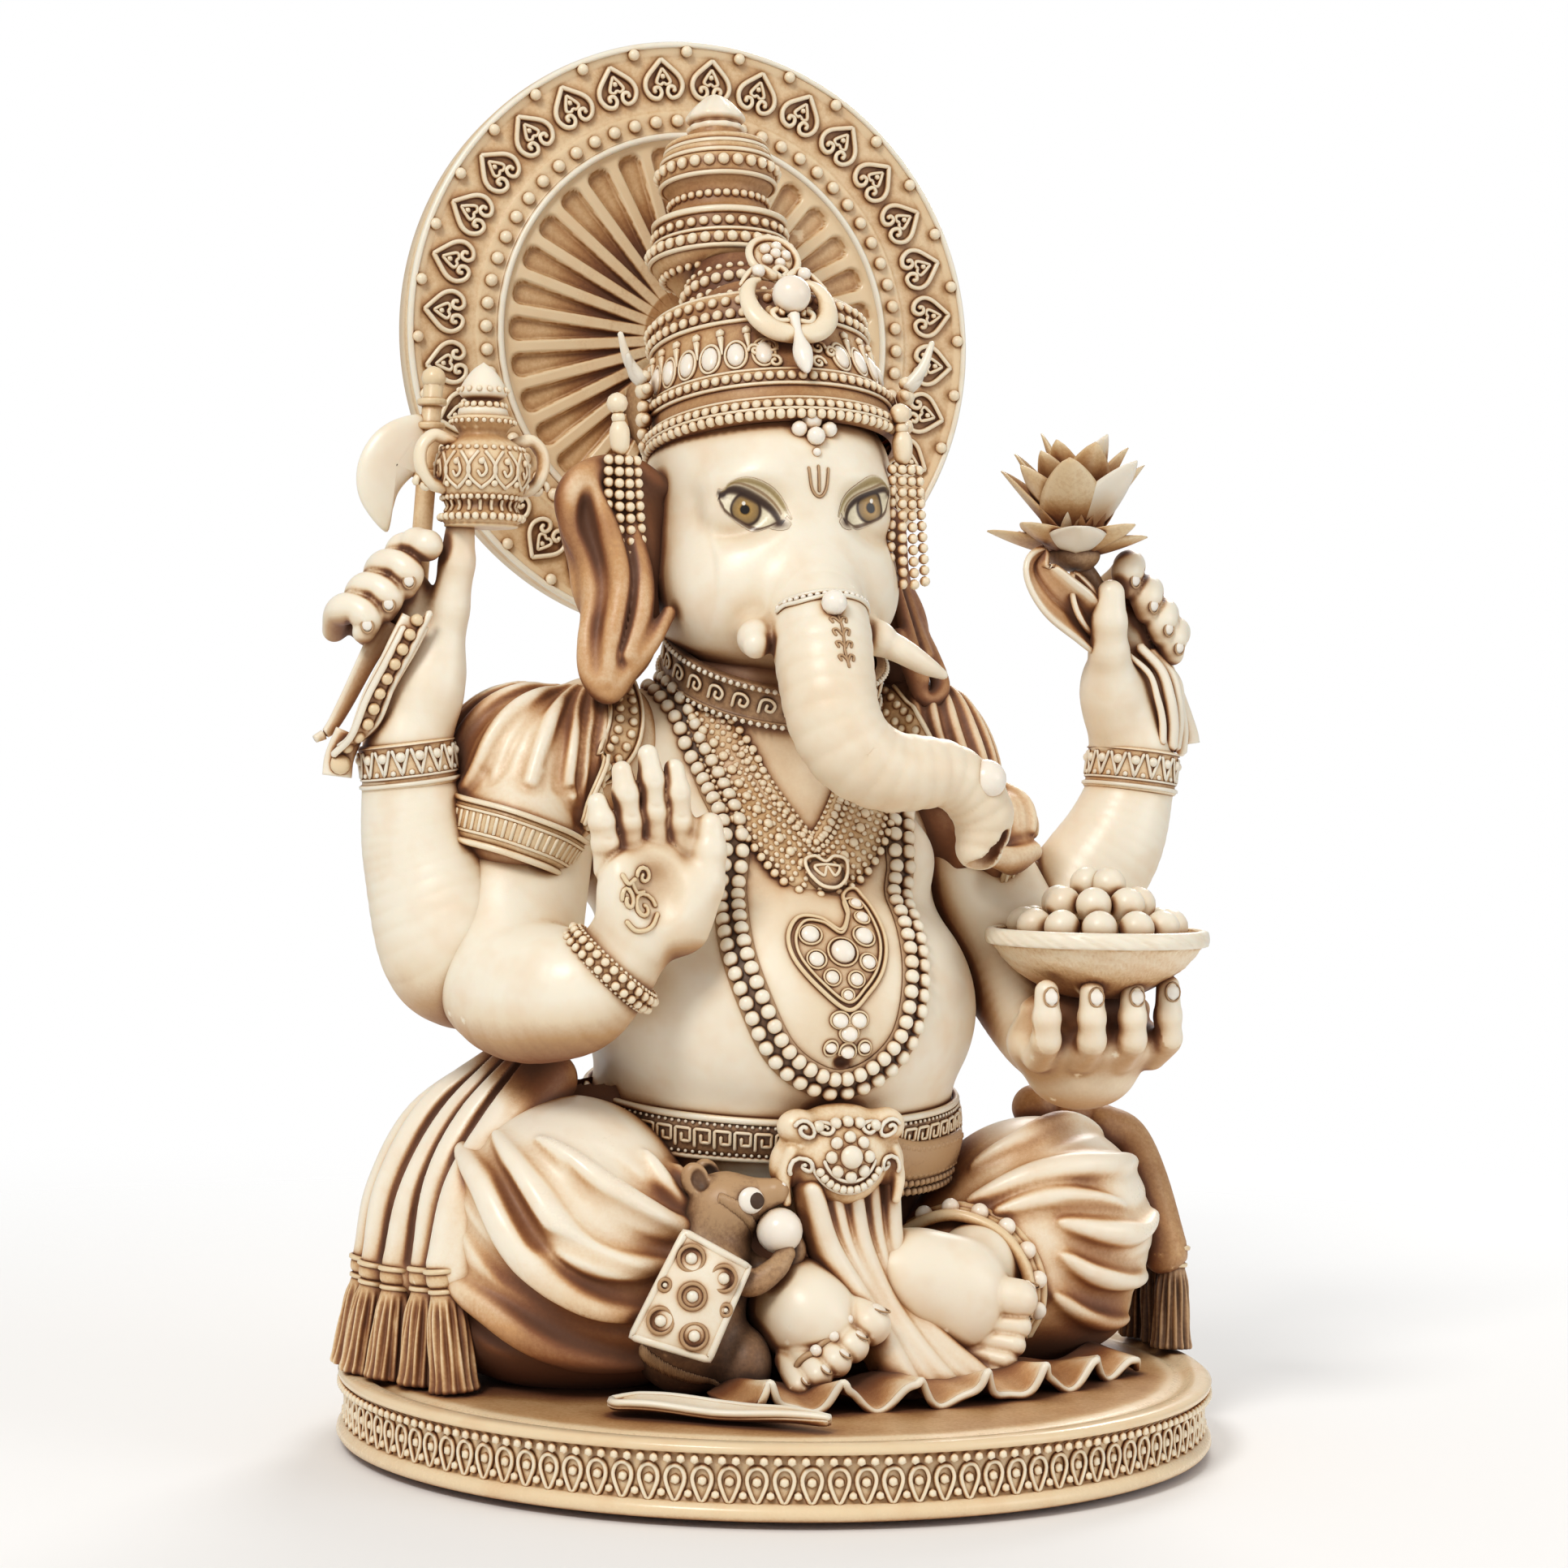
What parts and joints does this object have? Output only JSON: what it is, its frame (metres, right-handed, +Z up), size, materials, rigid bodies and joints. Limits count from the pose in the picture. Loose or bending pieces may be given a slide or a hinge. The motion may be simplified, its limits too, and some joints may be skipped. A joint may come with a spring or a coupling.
{
  "type": "seated elephant-headed deity figurine",
  "caption": "Seated Ganesha idol with a round halo, on a round beaded plinth, cast in antiqued ivory resin.",
  "frame": {"origin": "centre of the plinth's underside, on the surface it rests on", "axes": "+Z up, -Y the way the figure faces, +X towards the figure's left hand"},
  "size_m": [0.1984, 0.186, 0.3098],
  "materials": {
    "ivory_resin": "smooth ivory cold-cast resin, satin, brown wash in the hollows",
    "carved_resin": "carved relief in ivory resin with tan and brown antiquing, satin",
    "cloth_resin": "draped folds in ivory resin, brown in the fold lines, satin",
    "dark_resin": "dark brown washed resin, matt",
    "felt": "dark green felt"
  },
  "bodies": {
    "root": {"axe": "ivory_resin", "base_plinth": "carved_resin", "bead_necklace": "ivory_resin", "belt_buckle": "carved_resin", "chest_collar": "carved_resin", "choker": "carved_resin", "crown_crescent": "ivory_resin", "crown_dome": "carved_resin", "crown_finial": "ivory_resin", "crown_spire": "carved_resin", "dhoti_seat": "cloth_resin", "felt_pad": "felt", "front_pleats": "cloth_resin", "ground_leaf": "cloth_resin", "halo_disc": "carved_resin", "halo_stem": "cloth_resin", "head": "ivory_resin", "left_anklet": "carved_resin", "left_ear": "ivory_resin", "left_ear_tassel": "carved_resin", "left_foot": "ivory_resin", "left_front_arm": "ivory_resin", "left_front_hand": "ivory_resin", "left_hand_scarf": "cloth_resin", "left_leg": "cloth_resin", "left_rear_arm": "ivory_resin", "left_rear_bangle": "carved_resin", "left_rear_hand": "ivory_resin", "left_shawl": "dark_resin", "left_sleeve": "cloth_resin", "left_tusk": "ivory_resin", "lotus_flower": "carved_resin", "medallion": "carved_resin", "mouse_blanket": "carved_resin", "mouse_body": "dark_resin", "mouse_sweet": "ivory_resin", "pot_lid": "ivory_resin", "right_ear": "ivory_resin", "right_ear_tassel": "carved_resin", "right_foot": "ivory_resin", "right_front_arm": "ivory_resin", "right_front_bangle": "carved_resin", "right_front_hand": "ivory_resin", "right_hand_scarf": "cloth_resin", "right_leg": "cloth_resin", "right_rear_arm": "ivory_resin", "right_rear_bangle": "carved_resin", "right_rear_hand": "ivory_resin", "right_shawl": "cloth_resin", "right_sleeve": "cloth_resin", "right_tusk": "ivory_resin", "ruffled_hem": "cloth_resin", "sweet_bowl": "carved_resin", "sweets_heap": "ivory_resin", "torso": "ivory_resin", "trunk": "ivory_resin", "trunk_band": "carved_resin", "trunk_sweet": "ivory_resin", "waist_belt": "carved_resin", "water_pot": "carved_resin"}
  },
  "joints": []
}
